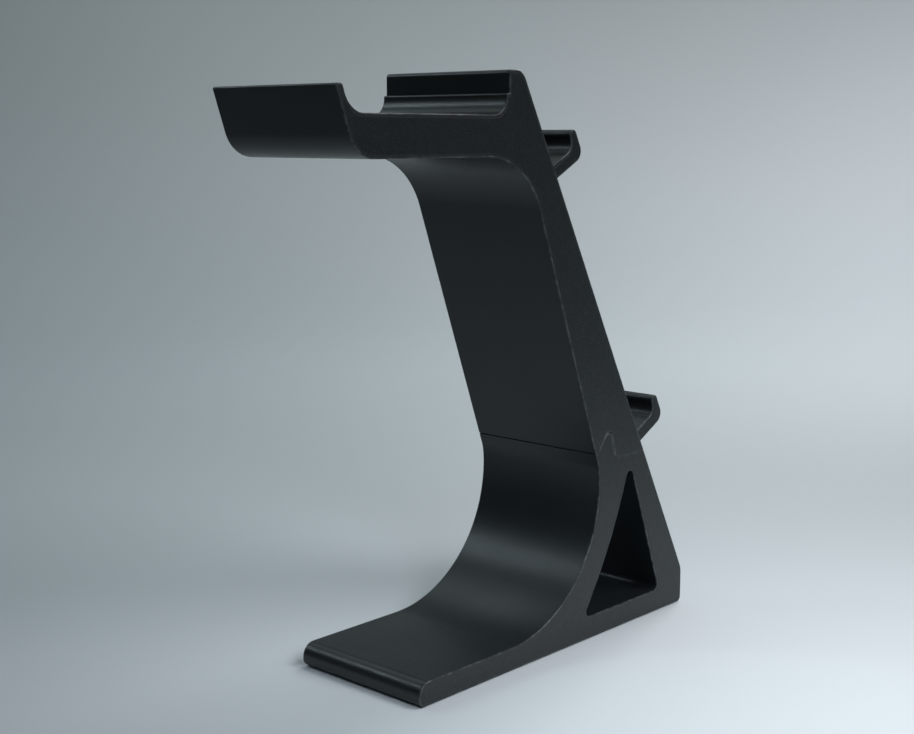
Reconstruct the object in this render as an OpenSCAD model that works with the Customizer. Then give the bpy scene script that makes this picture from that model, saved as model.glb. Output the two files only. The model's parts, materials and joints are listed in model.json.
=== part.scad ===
// Stand for one headset and two game controllers.
// A side profile is extruded across the stand: a foot with a triangular opening, and above
// it a leaning column with a trough-shaped headset cradle. Two rests on the rear face carry
// a controller each. X runs across the stand, Y from the nose to the heel, Z up.

/* [Overall] */
// Width of the foot, the column and the cradle
body_w = 67; // [50:1:90]
// Height of the column's top edge above the table
stand_h = 242; // [200:1:300]
// Length of the foot from its nose to its heel
foot_l = 177; // [145:1:215]
// Thickness of the foot's slab
slab_t = 9.7; // [8:0.1:14]

/* [Column] */
// Distance from the nose back to the line of the column's front face, at its top
column_y = 50; // [35:0.1:65]
// Set-back of the upright face above the cradle from that line
brow_back = 1; // [0:0.1:2]
// Level thickness of the column at its top edge
column_t = 9; // [7:0.5:14]
// Radius of the front corner at the top
top_front_r = 1.6; // [0.5:0.1:2]
// Radius of the rear corner at the top
top_rear_r = 6.5; // [2:0.1:8]

/* [Foot] */
// Radius of the sweep between the slab and the front leg
sweep_r = 58; // [40:0.5:58]
// Lean of the front leg where it leaves the sweep, in degrees
shin_lean = 3; // [1:0.1:6]
// Height at which the front leg takes up the column's lean
knee_z = 74.6; // [74.4:0.1:78]
// Distance from the nose back to the front leg at that height
knee_y = 111.9; // [100:0.1:118]
// Radius of the bend there
knee_r = 20; // [10:1:24]
// Radius of the nose's upper edge
nose_top_r = 5.6; // [2:0.1:5.8]
// Radius of the nose's lower edge
nose_low_r = 3.2; // [1:0.1:3.5]
// Height of the heel's upper edge
heel_z = 16.3; // [14:0.1:26]
// Radius of the heel's upper edge
heel_top_r = 9; // [4:0.5:12]
// Radius of the heel's lower edge
heel_low_r = 2.2; // [1:0.1:4]
// Height of the opening's floor above the table
opening_z = 10.3; // [8:0.1:16]
// Distance from the nose to the opening's front side at its floor
opening_y = 102; // [94:0.1:106]
// Level thickness of the rear leg at the opening's floor
rear_leg_t = 18.4; // [16:0.1:24]
// Taper of the rear leg towards its top, in degrees
rear_leg_taper = 7.2; // [4:0.1:9]
// Level thickness of the front leg level with the sweep's centre
front_leg_t = 19.9; // [17:0.1:21]
// Radius of the opening's bowed front side
opening_bow_r = 222; // [150:1:300]
// Radius of the opening's corners
opening_r = 2.4; // [1:0.1:3]

/* [Cradle] */
// Reach of the cradle from the line of the front face to the lip's top edge
cradle_reach = 89.3; // [70:0.1:110]
// Depth of the trough's floor below the top of the column
saddle_drop = 17.1; // [14:0.1:24]
// Thickness of the cradle under the trough
cradle_t = 16; // [10:0.1:20]
// Height of the lip above the trough's floor
lip_h = 9.9; // [6:0.1:14]
// Thickness of the lip at its top edge
lip_t = 3.2; // [2.4:0.1:5]
// Radius of the lip's outer edge
lip_outer_r = 0.8; // [0.4:0.1:1.4]
// Radius of the lip's inner edge
lip_inner_r = 1.3; // [0.4:0.1:1.4]
// Forward lean of the lip, in degrees
lip_lean = 18.4; // [8:0.1:24]
// Radius of the trough's corner behind the lip
trough_front_r = 10; // [4:0.1:12]
// Radius of the trough's corner in front of the rim
trough_rear_r = 7.2; // [4:0.1:7.4]
// Height of the rim behind the trough above its floor
rim_h = 8.2; // [5:0.1:12]
// Thickness of that rim in front of the upright face
rim_t = 1.6; // [1:0.1:3]
// Radius under the cradle's front
chin_r = 13.4; // [6:0.1:14]
// Radius between the cradle's underside and the column
throat_r = 33; // [15:0.5:40]

/* [Joint] */
// Height of the seam on the front face
seam_z = 81.9; // [79:0.1:90]
// Height of the seam on the rear face
rear_seam_z = 78; // [77.6:0.1:82]
// Distance from the column's front face to the key
key_back = 1.6; // [1:0.1:4]
// Height of the key above the front seam
key_h = 7.9; // [5:0.1:12]
// Length of the key's front slope
key_rise = 6.2; // [2:0.1:9]
// Length of the key's flat top
key_top = 3; // [2:0.1:6]
// Length of the key's rear slope
key_fall = 3.6; // [1:0.1:6]
// Clearance round the key
key_gap = 0.2; // [0.1:0.05:0.4]
// Depth of the groove along the seam
seam_groove = 0.45; // [0.2:0.05:0.8]

/* [Controller rests] */
// Width of each rest
rest_w = 44; // [30:1:50]
// Height of the upper rest's shelf where it leaves the rear face
upper_rest_z = 199; // [190:1:210]
// Height of the lower rest's shelf where it leaves the rear face
lower_rest_z = 78; // [76:1:84]
// Length of the shelf behind the rear face
shelf_l = 32; // [22:1:33]
// Thickness of the shelf
shelf_t = 6; // [4:0.5:9]
// Height of the shelf's end lip
shelf_lip_h = 7; // [4:0.5:12]
// Thickness of the end lip
shelf_lip_t = 4.4; // [3:0.1:6]
// Radius of the bracket under the shelf
bracket_r = 10; // [5:0.5:11]
// Thickness of the back plate let into the rear face
plate_t = 4; // [3:0.1:4.4]
// Length of the back plate below the shelf's top
plate_low = 26; // [24:0.5:30]
// Length of the lower rest's plate above the shelf's top
plate_high = 23; // [20:0.5:26]
// Clearance round a back plate
plate_gap = 0.2; // [0.1:0.05:0.4]

/* [Fasteners] */
// Radius of a screw's thread
screw_r = 1.5; // [1.2:0.1:1.8]
// Radius of a screw's countersunk head
head_r = 2.9; // [2.5:0.1:3.2]
// Length of a screw
screw_l = 8; // [6:0.5:8]
// Clearance round a screw
screw_gap = 0.2; // [0.1:0.05:0.3]
// Wall of a threaded insert round the screw's thread
insert_wall = 0.8; // [0.6:0.1:1.1]
// Length of a threaded insert
insert_l = 4; // [3:0.1:4]
// Clearance between an insert and its thread or its hole
insert_gap = 0.05; // [0.02:0.01:0.1]
// Distance between the two screws of a row
screw_pitch = 26; // [16:1:32]
// Distance of the lower row of screws below the shelf's top
row_low = 20.5; // [19.5:0.5:22.5]
// Distance of the upper row of screws above the shelf's top
row_high = 16; // [13:0.5:18]
// Radius of the hexagon socket in a screw's head
socket_r = 1.15; // [0.9:0.05:1.3]
// Depth of that socket
socket_h = 1.1; // [0.6:0.1:1.4]

/* [Pads] */
// Length of a pad across the stand
pad_w = 52; // [30:1:60]
// Width of a pad
pad_l = 13; // [8:0.5:18]
// Thickness of a pad
pad_t = 1.5; // [1:0.1:2.5]
// Height that a pad stands proud of the slab
pad_proud = 0.3; // [0.2:0.1:1]
// Distance from the nose or the heel to a pad
pad_inset = 9; // [6:0.5:20]
// Clearance round a pad
pad_gap = 0.15; // [0.1:0.05:0.4]

/* [Hidden] */
$fn = 96;
slab_top = pad_proud + slab_t;
front_lean = atan((knee_y - column_y) / (stand_h - knee_z));
rear_lean = atan((foot_l - column_y - column_t) / (stand_h - heel_z));
opening_lean = rear_lean - rear_leg_taper;
saddle_z = stand_h - saddle_drop;
under_z = saddle_z - cradle_t;
lip_z = saddle_z + lip_h;
rim_z = saddle_z + rim_h;
lip_y = column_y - cradle_reach;
brow_y = column_y + brow_back;
rim_y = brow_y - rim_t;
shin_y = knee_y + (knee_z - slab_top) * tan(shin_lean);
y_mid = (lip_y + foot_l) / 2;
screw_cone_h = head_r - screw_r;
insert_r = screw_r + insert_wall;
lap = 0.4;
bite = 0.01;

printed = [0.07, 0.075, 0.08];
rubber = [0.03, 0.03, 0.03];
steel = [0.55, 0.56, 0.58];
brass = [0.72, 0.56, 0.28];

// Distance of the column's front and rear faces from the nose at height z
function front_y(z) = column_y + (stand_h - z) * tan(front_lean);
function rear_y(z) = column_y + column_t + (stand_h - z) * tan(rear_lean);
function unit(v) = v / norm(v);

// Corners of the whole side profile, as [distance from the nose, height]
outline = [
    [0, pad_proud],
    [foot_l, pad_proud],
    [foot_l, heel_z],
    [column_y + column_t, stand_h],
    [brow_y, stand_h],
    [brow_y, rim_z],
    [rim_y, rim_z],
    [rim_y, saddle_z],
    [lip_y + lip_t + lip_h * tan(lip_lean), saddle_z],
    [lip_y + lip_t, lip_z],
    [lip_y, lip_z],
    [lip_y + (lip_z - under_z) * tan(lip_lean), under_z],
    [front_y(under_z), under_z],
    [knee_y, knee_z],
    [shin_y, slab_top],
    [0, slab_top]
];

// The outline's corners that are filled with a curve, and those that are rounded off:
// [corner, radius]
filled = [
    [7, trough_rear_r], [8, trough_front_r], [12, throat_r], [13, knee_r], [14, sweep_r]
];
rounded = [
    [0, nose_low_r], [1, heel_low_r], [2, heel_top_r], [3, top_rear_r], [4, top_front_r],
    [6, rim_t / 2], [9, lip_inner_r], [10, lip_outer_r], [11, chin_r], [15, nose_top_r]
];

// The piece between a corner p, with its edges along a and b (b to the left of a), and a
// curve of radius r that meets both edges. It laps a little past the edges, and the curve
// bites a little into them, so that the two always cross.
module corner_piece(p, a, b, r) {
    half = acos(a * b) / 2;
    mid = unit(a + b);
    centre = p + mid * r / sin(half);
    ta = p + a * r / tan(half);
    tb = p + b * r / tan(half);
    out_a = unit(a * (a * b) - b) * lap;
    out_b = unit(b * (a * b) - a) * lap;
    difference() {
        polygon([p - mid * lap / sin(half), ta + out_a, ta, centre, tb, tb + out_b]);
        translate(centre)
            circle(r + bite);
    }
}

module outline_corner(c) {
    n = len(outline);
    p = outline[c[0]];
    before = unit(outline[(c[0] + n - 1) % n] - p);
    after = unit(outline[(c[0] + 1) % n] - p);
    if (before[0] * after[1] > before[1] * after[0])
        corner_piece(p, before, after, c[1]);
    else
        corner_piece(p, after, before, c[1]);
}

// The side profile of the foot and the column together
module stand_profile() {
    difference() {
        union() {
            polygon(outline);
            for (c = filled)
                outline_corner(c);
        }
        for (c = rounded)
            outline_corner(c);
    }
}

// The triangular opening: a level floor, a rear side that leans, and a front side that
// bows back, with a rounded corner where two of them meet
opening_back = foot_l - rear_leg_t;
sweep_c = [shin_y - sweep_r / tan(45 - shin_lean / 2), slab_top + sweep_r];
bow_low = [opening_y, opening_z];
bow_high = [sweep_c[0] + sweep_r + front_leg_t, sweep_c[1]];
bow_half = (bow_high - bow_low) / 2;
bow_c = bow_low + bow_half + unit([-bow_half[1], bow_half[0]])
        * sqrt(pow(opening_bow_r, 2) - bow_half * bow_half);
side = [-sin(opening_lean), cos(opening_lean)];
side_in = [-cos(opening_lean), -sin(opening_lean)];
heel_corner = [opening_back - opening_r * tan(45 + opening_lean / 2), opening_z + opening_r];
nose_corner = [bow_c[0] + sqrt(pow(opening_bow_r + opening_r, 2)
               - pow(opening_z + opening_r - bow_c[1], 2)), opening_z + opening_r];
// The top corner's centre lies on the rear side's parallel, one radius inside it
rail = [opening_back, opening_z] + side_in * opening_r - bow_c;
climb = -(rail * side) - sqrt(pow(rail * side, 2) - rail * rail
        + pow(opening_bow_r + opening_r, 2));
top_corner = bow_c + rail + side * climb;

module opening_profile() {
    difference() {
        polygon([
            [nose_corner[0], opening_z],
            [heel_corner[0], opening_z],
            heel_corner,
            heel_corner - side_in * opening_r,
            top_corner - side_in * opening_r,
            top_corner,
            top_corner + unit(bow_c - top_corner) * opening_r,
            nose_corner + unit(bow_c - nose_corner) * opening_r,
            nose_corner
        ]);
        translate(bow_c)
            circle(opening_bow_r, $fn = 720);
    }
    for (c = [nose_corner, heel_corner, top_corner])
        translate(c)
            circle(opening_r + bite);
}

// Everything below the seam. A wedge-shaped key stands on it, grown by gap where the
// column goes over it.
module below_seam(gap) {
    y = front_y(seam_z) + key_back;
    polygon([
        [lip_y - 10, -5],
        [foot_l + 50, -5],
        [foot_l + 50, rear_seam_z],
        [y + key_rise + key_top + key_fall + gap, rear_seam_z],
        [y + key_rise + key_top + gap, seam_z + key_h + gap],
        [y + key_rise - gap, seam_z + key_h + gap],
        [y - gap, seam_z],
        [lip_y - 10, seam_z]
    ]);
}

// The V groove that runs across the front at the seam
module seam_groove_profile() {
    translate([front_y(seam_z), seam_z])
        rotate(45)
            square(seam_groove * sqrt(2), center = true);
}

// Extrudes a side profile to width w, centred on the stand
module across(w) {
    translate([0, -y_mid, 0])
        rotate([90, 0, 90])
            translate([0, 0, -w / 2])
                linear_extrude(w)
                    children();
}

// Puts a rest's own profile on the rear face: x out of the face, y up along it
module on_rear(z) {
    translate([rear_y(z), z])
        rotate(rear_lean)
            children();
}

// Puts a fastener on the rear face, its axis pointing out, at u along the face
module at_screws(z, rows) {
    translate([0, rear_y(z) - y_mid, z])
        rotate([rear_lean, 0, 0])
            for (u = rows, s = [-1, 1])
                translate([s * screw_pitch / 2, 0, u])
                    rotate([-90, 0, 0])
                        children();
}

upper_rows = [-row_low];
lower_rows = [-row_low, row_high];

module plate_pocket(z, high) {
    across(rest_w + 2 * plate_gap)
        on_rear(z)
            translate([-plate_t - plate_gap, -plate_low - plate_gap])
                square([plate_t + plate_gap + 12, plate_low + high + 2 * plate_gap]);
}

// Blind holes for the threaded inserts, cut from the floor of a plate's pocket
module insert_holes(z, rows) {
    at_screws(z, rows)
        translate([0, 0, -plate_t - plate_gap - insert_l - 1])
            cylinder(r = insert_r + insert_gap, h = insert_l + 1 + 2 * plate_gap);
}

module pad_pocket(y) {
    translate([-pad_w / 2 - pad_gap, y - pad_gap - y_mid, pad_proud - 1])
        cube([pad_w + 2 * pad_gap, pad_l + 2 * pad_gap, 1 + pad_t - pad_proud]);
}

module pad(y) {
    color(rubber)
        translate([-pad_w / 2, y - y_mid, 0])
            cube([pad_w, pad_l, pad_t]);
}

module foot() {
    color(printed)
        difference() {
            across(body_w)
                difference() {
                    intersection() {
                        stand_profile();
                        below_seam(0);
                    }
                    opening_profile();
                    seam_groove_profile();
                }
            plate_pocket(lower_rest_z, plate_high);
            insert_holes(lower_rest_z, lower_rows);
            pad_pocket(pad_inset);
            pad_pocket(foot_l - pad_inset - pad_l);
        }
}

module column() {
    color(printed)
        difference() {
            across(body_w)
                difference() {
                    stand_profile();
                    below_seam(key_gap);
                    seam_groove_profile();
                }
            plate_pocket(lower_rest_z, plate_high);
            insert_holes(lower_rest_z, lower_rows);
            plate_pocket(upper_rest_z, shelf_t / 2);
            insert_holes(upper_rest_z, upper_rows);
        }
}

// A rest: the plate in the rear face, the shelf, its bracket and its end lip
module rest_profile(high) {
    end_r = shelf_lip_t / 2.2;
    floor_r = shelf_lip_h - end_r;
    difference() {
        union() {
            translate([-plate_t, -plate_low])
                square([plate_t, plate_low + high]);
            translate([-lap, -shelf_t])
                square([shelf_l + lap, shelf_t]);
            translate([shelf_l - shelf_lip_t, -shelf_t])
                square([shelf_lip_t, shelf_t + shelf_lip_h]);
            corner_piece([0, -shelf_t], [0, -1], [1, 0], bracket_r);
            corner_piece([shelf_l - shelf_lip_t, 0], [0, 1], [-1, 0], floor_r);
        }
        corner_piece([shelf_l, shelf_lip_h], [-1, 0], [0, -1], end_r);
        corner_piece([shelf_l - shelf_lip_t, shelf_lip_h], [0, -1], [1, 0], end_r);
        corner_piece([shelf_l, -shelf_t], [0, 1], [-1, 0], shelf_t * 0.8);
    }
}

// A screw, axis up, its head flush at z = 0
module screw() {
    difference() {
        rotate_extrude()
            polygon([
                [0, -screw_l],
                [screw_r, -screw_l],
                [screw_r, -screw_cone_h],
                [head_r, 0],
                [0, 0]
            ]);
        translate([0, 0, -socket_h])
            cylinder(r = socket_r, h = socket_h + 1, $fn = 6);
    }
}

// The countersunk hole that takes a screw
module screw_hole() {
    rotate_extrude()
        polygon([
            [0, -plate_t - 1],
            [screw_r + screw_gap, -plate_t - 1],
            [screw_r + screw_gap, -screw_cone_h],
            [head_r + screw_gap, 0],
            [head_r + screw_gap, 1],
            [0, 1]
        ]);
}

module insert() {
    difference() {
        translate([0, 0, -plate_t - plate_gap - insert_l])
            cylinder(r = insert_r, h = insert_l);
        translate([0, 0, -plate_t - plate_gap - insert_l - 1])
            cylinder(r = screw_r + insert_gap, h = insert_l + 2);
    }
}

module rest(z, high, rows) {
    color(printed)
        difference() {
            across(rest_w)
                on_rear(z)
                    rest_profile(high);
            at_screws(z, rows)
                screw_hole();
        }
}

module upper_rest() {
    rest(upper_rest_z, shelf_t / 2, upper_rows);
}

module lower_rest() {
    rest(lower_rest_z, plate_high, lower_rows);
}

module upper_rest_inserts() {
    color(brass)
        at_screws(upper_rest_z, upper_rows)
            insert();
}

module lower_rest_inserts() {
    color(brass)
        at_screws(lower_rest_z, lower_rows)
            insert();
}

module upper_rest_screws() {
    color(steel)
        at_screws(upper_rest_z, upper_rows)
            screw();
}

module lower_rest_screws() {
    color(steel)
        at_screws(lower_rest_z, lower_rows)
            screw();
}

module nose_pad() {
    pad(pad_inset);
}

module heel_pad() {
    pad(foot_l - pad_inset - pad_l);
}

foot();
column();
upper_rest();
lower_rest();
upper_rest_inserts();
lower_rest_inserts();
upper_rest_screws();
lower_rest_screws();
nose_pad();
heel_pad();
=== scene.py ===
"""Headphone and game controller stand: finished pieces, studio light and camera.

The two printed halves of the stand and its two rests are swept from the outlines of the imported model, with rounded
end edges, wall beads and real pockets and holes. Screws, inserts and pads are grown with Geometry Nodes. Lengths in
the classes are millimetres. Blender's own unit is the metre.
"""

import json
import logging
import math
from collections.abc import Iterable, Sequence
from dataclasses import dataclass, field
from enum import Enum

import bmesh
import bpy
import numpy as np
from mathutils import Euler, Matrix, Vector
from mathutils.geometry import delaunay_2d_cdt

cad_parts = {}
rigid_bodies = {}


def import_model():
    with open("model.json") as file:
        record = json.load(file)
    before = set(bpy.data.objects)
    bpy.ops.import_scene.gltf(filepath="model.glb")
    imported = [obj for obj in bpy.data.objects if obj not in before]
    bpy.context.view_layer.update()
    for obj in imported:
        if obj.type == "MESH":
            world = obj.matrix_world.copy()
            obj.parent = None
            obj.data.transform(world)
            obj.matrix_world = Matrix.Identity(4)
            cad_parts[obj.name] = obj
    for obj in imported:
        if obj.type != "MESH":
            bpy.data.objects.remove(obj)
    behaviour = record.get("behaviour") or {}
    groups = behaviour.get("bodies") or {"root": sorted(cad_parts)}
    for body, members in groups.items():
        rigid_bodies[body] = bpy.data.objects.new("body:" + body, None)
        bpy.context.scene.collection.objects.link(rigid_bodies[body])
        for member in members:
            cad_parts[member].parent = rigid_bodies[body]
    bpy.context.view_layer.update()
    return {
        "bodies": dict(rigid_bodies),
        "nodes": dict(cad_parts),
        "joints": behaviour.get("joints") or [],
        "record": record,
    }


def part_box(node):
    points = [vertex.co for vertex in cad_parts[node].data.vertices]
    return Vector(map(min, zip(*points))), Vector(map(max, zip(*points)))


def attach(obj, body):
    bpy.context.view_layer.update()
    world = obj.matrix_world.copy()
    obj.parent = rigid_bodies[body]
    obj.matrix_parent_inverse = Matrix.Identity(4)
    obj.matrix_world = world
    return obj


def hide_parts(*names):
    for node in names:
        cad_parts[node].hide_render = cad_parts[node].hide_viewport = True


MM = 0.001
SKIN_MAP = "skin"
BODY = "root"

# Angle in degrees past which an edge stays sharp
CREASE = 34.0
FINE_CREASE = 30.0

# Lengths in millimetres below which corners are one, an edge is no edge, and a spot is on a line
MERGE = 0.0005
SLIVER = 0.0002
TOUCH = 0.002

# Sine of the turn below which a corner is left out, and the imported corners' steps in a metre
STRAIGHT = 1e-4
MICRONS = 1e6

log = logging.getLogger("stand")

Point = tuple[float, float]
Point3 = tuple[float, float, float]
Inputs = dict[str | int, object]


class EndFace(Enum):
    """Which end of a printed piece a face belongs to, as the skin map's second coordinate stores it."""

    WALL = 0.0
    TOP_LAYER = 1.0
    BED_LAYER = -1.0


class Slot(Enum):
    """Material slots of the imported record."""

    PRINTED = "printed_plastic"
    BRASS = "insert_brass"
    SCREW = "black_screw"
    RUBBER = "pad_rubber"


# Node trees


def set_inputs(tree: bpy.types.NodeTree, node: bpy.types.Node, inputs: Inputs) -> None:
    """Set or link inputs of a node.

    Args:
        tree: Tree that holds the node.
        node: The node.
        inputs: Value, socket or node for each input's name or index. A node stands for its first output.
    """
    for key, value in inputs.items():
        source = value.outputs[0] if isinstance(value, bpy.types.Node) else value
        if isinstance(source, bpy.types.NodeSocket):
            tree.links.new(source, node.inputs[key])
        else:
            node.inputs[key].default_value = source


def add_node(tree: bpy.types.NodeTree, kind: str, inputs: Inputs | None = None, **settings: object) -> bpy.types.Node:
    """Add a node with its settings and links.

    Args:
        tree: Tree that takes the node.
        kind: Blender's identifier of the node type.
        inputs: What its inputs are set or linked to, as set_inputs takes it.
        **settings: Properties of the node.

    Returns:
        The new node.
    """
    node = tree.nodes.new(kind)
    for name, value in settings.items():
        setattr(node, name, value)
    set_inputs(tree, node, inputs or {})
    return node


def linear(code: str) -> tuple[float, float, float, float]:
    """Turn an sRGB hex colour into linear light.

    Args:
        code: Colour such as "#202426".

    Returns:
        Red, green, blue and an alpha of 1.
    """
    parts = [int(code[i : i + 2], 16) / 255 for i in (1, 3, 5)]
    red, green, blue = (c / 12.92 if c <= 0.04045 else ((c + 0.055) / 1.055) ** 2.4 for c in parts)
    return red, green, blue, 1.0


def shader(name: str) -> tuple[bpy.types.Material, bpy.types.NodeTree, bpy.types.Node]:
    """Start a node material that holds one Principled shader.

    Args:
        name: Name of the material.

    Returns:
        The material, its node tree and the shader node.
    """
    material = bpy.data.materials.new(name)
    material.use_nodes = True
    return material, material.node_tree, material.node_tree.nodes["Principled BSDF"]


def start_tree(name: str, sockets: dict[str, str]) -> tuple[bpy.types.NodeTree, bpy.types.NodeOutputs]:
    """Start a Geometry Nodes tree whose first input and only output are geometry and whose last input is a material.

    Args:
        name: Name of the tree.
        sockets: Kind of each input between those two, such as "Float", by its name.

    Returns:
        The tree and what its inputs give.
    """
    tree = bpy.data.node_groups.new(name, "GeometryNodeTree")
    for label, kind in {"Geometry": "Geometry", **sockets, "Material": "Material"}.items():
        tree.interface.new_socket(name=label, in_out="INPUT", socket_type=f"NodeSocket{kind}")
    tree.interface.new_socket(name="Geometry", in_out="OUTPUT", socket_type="NodeSocketGeometry")
    return tree, add_node(tree, "NodeGroupInput").outputs


def end_tree(tree: bpy.types.NodeTree, grown: bpy.types.Node, material: bpy.types.NodeSocket) -> bpy.types.NodeTree:
    """End a tree: its copies are made real and take their material.

    Args:
        tree: The tree.
        grown: The node that gives the finished geometry.
        material: The tree's input for the material.

    Returns:
        The tree.
    """
    real = add_node(tree, "GeometryNodeRealizeInstances", {0: grown})
    dressed = add_node(tree, "GeometryNodeSetMaterial", {"Geometry": real, "Material": material})
    add_node(tree, "NodeGroupOutput", {0: dressed})
    return tree


# Finishes


@dataclass(frozen=True)
class PrintedPla:
    """Black PLA, printed on its side: satin, with layer lines across the stand and wall beads round each end face.

    Each pattern is named for what it shows. Its own field is its size, its depth is its relief, both in millimetres,
    and its gloss is how far it changes the roughness.
    """

    name: str = "black_pla_printed_on_its_side"
    colour: str = "#0f1314"
    faded: str = "#171c1e"
    # Light grey for the end edges: part rubbed plastic, part painted highlight
    rubbed_and_highlit: str = "#50575a"
    roughness: float = 0.34
    ior: float = 1.46
    layer: float = 0.4
    layer_depth: float = 0.01
    raster: float = 0.9
    raster_depth: float = 0.021
    under_layer: float = 0.5
    grain: float = 0.3
    grain_depth: float = 0.02
    band: float = 2.4
    band_gloss: float = 0.12
    cloud: float = 34.0
    cloud_gloss: float = -0.1
    scuff: float = 3.846
    scuff_gloss: float = 0.1
    raster_gloss: float = -0.08
    rub_and_highlight_from: float = 0.05
    rub_and_highlight_to: float = 0.5
    rub_and_highlight_share: float = 0.65
    wall_width: float = 1.15

    def build(self) -> bpy.types.Material:
        """Build the material.

        Returns:
            The material.
        """
        material, tree, skin = shader(self.name)
        place = add_node(tree, "ShaderNodeTexCoord").outputs["Object"]
        axes = add_node(tree, "ShaderNodeSeparateXYZ", {0: place})
        finish = add_node(tree, "ShaderNodeSeparateXYZ", {0: add_node(tree, "ShaderNodeUVMap", uv_map=SKIN_MAP)})
        edge, side = finish.outputs["X"], finish.outputs["Y"]
        on_end = add_node(tree, "ShaderNodeMath", {0: side}, operation="ABSOLUTE")
        on_wall = add_node(tree, "ShaderNodeMath", {0: 1.0, 1: on_end}, operation="SUBTRACT")

        # Cloudy tone of the filament, and the slow change of gloss from layer to layer
        cloud = add_node(
            tree,
            "ShaderNodeTexNoise",
            {"Vector": place, "Scale": 1 / (self.cloud * MM), "Detail": 4.0, "Roughness": 0.6},
        )
        band = add_node(
            tree,
            "ShaderNodeTexNoise",
            {"W": axes.outputs["X"], "Scale": 1 / (self.band * MM), "Detail": 5.0, "Roughness": 0.75},
            noise_dimensions="1D",
        )
        grain = add_node(
            tree,
            "ShaderNodeTexNoise",
            {"Vector": place, "Scale": 1 / (self.grain * MM), "Detail": 2.0, "Roughness": 0.6},
        )
        scuff = add_node(
            tree,
            "ShaderNodeTexNoise",
            {"Vector": place, "Scale": 1 / (self.scuff * MM), "Detail": 6.0, "Roughness": 0.7, "Distortion": 0.6},
        )

        # Rubbed plastic and a painted highlight: a thin broken lighter line along the rounded end edges
        near_edge = add_node(
            tree,
            "ShaderNodeMapRange",
            {"Value": edge, "From Min": self.rub_and_highlight_from, "From Max": self.rub_and_highlight_to, "To Min": 1.0, "To Max": 0.0},
            interpolation_type="SMOOTHSTEP",
        )
        broken = add_node(
            tree,
            "ShaderNodeMapRange",
            {"Value": scuff, "From Min": 0.4, "From Max": 0.68, "To Min": 0.0, "To Max": self.rub_and_highlight_share},
            interpolation_type="SMOOTHSTEP",
        )
        wear_and_highlight = add_node(tree, "ShaderNodeMath", {0: near_edge, 1: broken}, operation="MULTIPLY")
        tone = add_node(
            tree,
            "ShaderNodeMix",
            {0: cloud, 6: linear(self.colour), 7: linear(self.faded)},
            data_type="RGBA",
        )
        colour = add_node(
            tree,
            "ShaderNodeMix",
            {0: wear_and_highlight, 6: tone.outputs[2], 7: linear(self.rubbed_and_highlit)},
            data_type="RGBA",
        )

        # Real layer lines are 0.2 mm apart and the real raster's lines 0.45 mm. Both are drawn twice as coarse, so
        # that they show. The raster fills the end faces inside the wall beads. Its slant turns with the end face's
        # side, because the first and the last layer run opposite ways. The layer under it crosses it, more weakly.
        across = add_node(
            tree, "ShaderNodeMath", {0: axes.outputs["Z"], 1: side, 2: axes.outputs["Y"]}, operation="MULTIPLY_ADD"
        )
        level = add_node(tree, "ShaderNodeMath", {0: axes.outputs["Y"], 1: side}, operation="MULTIPLY")
        under = add_node(tree, "ShaderNodeMath", {0: axes.outputs["Z"], 1: level}, operation="SUBTRACT")
        slanted = self.raster * math.sqrt(2)
        crowns = []
        for along, apart in ((axes.outputs["X"], self.layer), (across, slanted), (under, slanted)):
            crown = add_node(tree, "ShaderNodeMath", {0: along, 1: math.pi / (apart * MM)}, operation="MULTIPLY")
            for operation in ("SINE", "ABSOLUTE"):
                crown = add_node(tree, "ShaderNodeMath", {0: crown}, operation=operation)
            crowns.append(crown)
        layers = add_node(tree, "ShaderNodeMath", {0: crowns[0], 1: on_wall}, operation="MULTIPLY")
        crossing: Inputs = {0: crowns[2], 1: self.under_layer, 2: crowns[1]}
        mesh = add_node(tree, "ShaderNodeMath", crossing, operation="MULTIPLY_ADD")
        infill = add_node(tree, "ShaderNodeMath", {0: edge, 1: self.wall_width}, operation="GREATER_THAN")
        infill = add_node(tree, "ShaderNodeMath", {0: infill, 1: on_end}, operation="MULTIPLY")
        raster = add_node(tree, "ShaderNodeMath", {0: mesh, 1: infill}, operation="MULTIPLY")

        # Gloss and relief: each pattern adds its share
        gloss: float | bpy.types.Node = self.roughness - self.band_gloss / 2
        glosses = ((band, self.band_gloss), (scuff, self.scuff_gloss), (cloud, self.cloud_gloss))
        for pattern, share in (*glosses, (raster, self.raster_gloss)):
            gloss = add_node(tree, "ShaderNodeMath", {0: pattern, 1: share, 2: gloss}, operation="MULTIPLY_ADD")
        height: float | bpy.types.Node = 0.0
        reliefs = ((layers, self.layer_depth), (raster, self.raster_depth), (grain, self.grain_depth))
        for pattern, share in reliefs:
            height = add_node(tree, "ShaderNodeMath", {0: pattern, 1: share, 2: height}, operation="MULTIPLY_ADD")
        bump = add_node(tree, "ShaderNodeBump", {"Height": height, "Distance": MM, "Strength": 1.0})

        looks: Inputs = {"Base Color": colour.outputs[2], "Roughness": gloss, "Normal": bump, "IOR": self.ior}
        set_inputs(tree, skin, looks)
        return material


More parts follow.
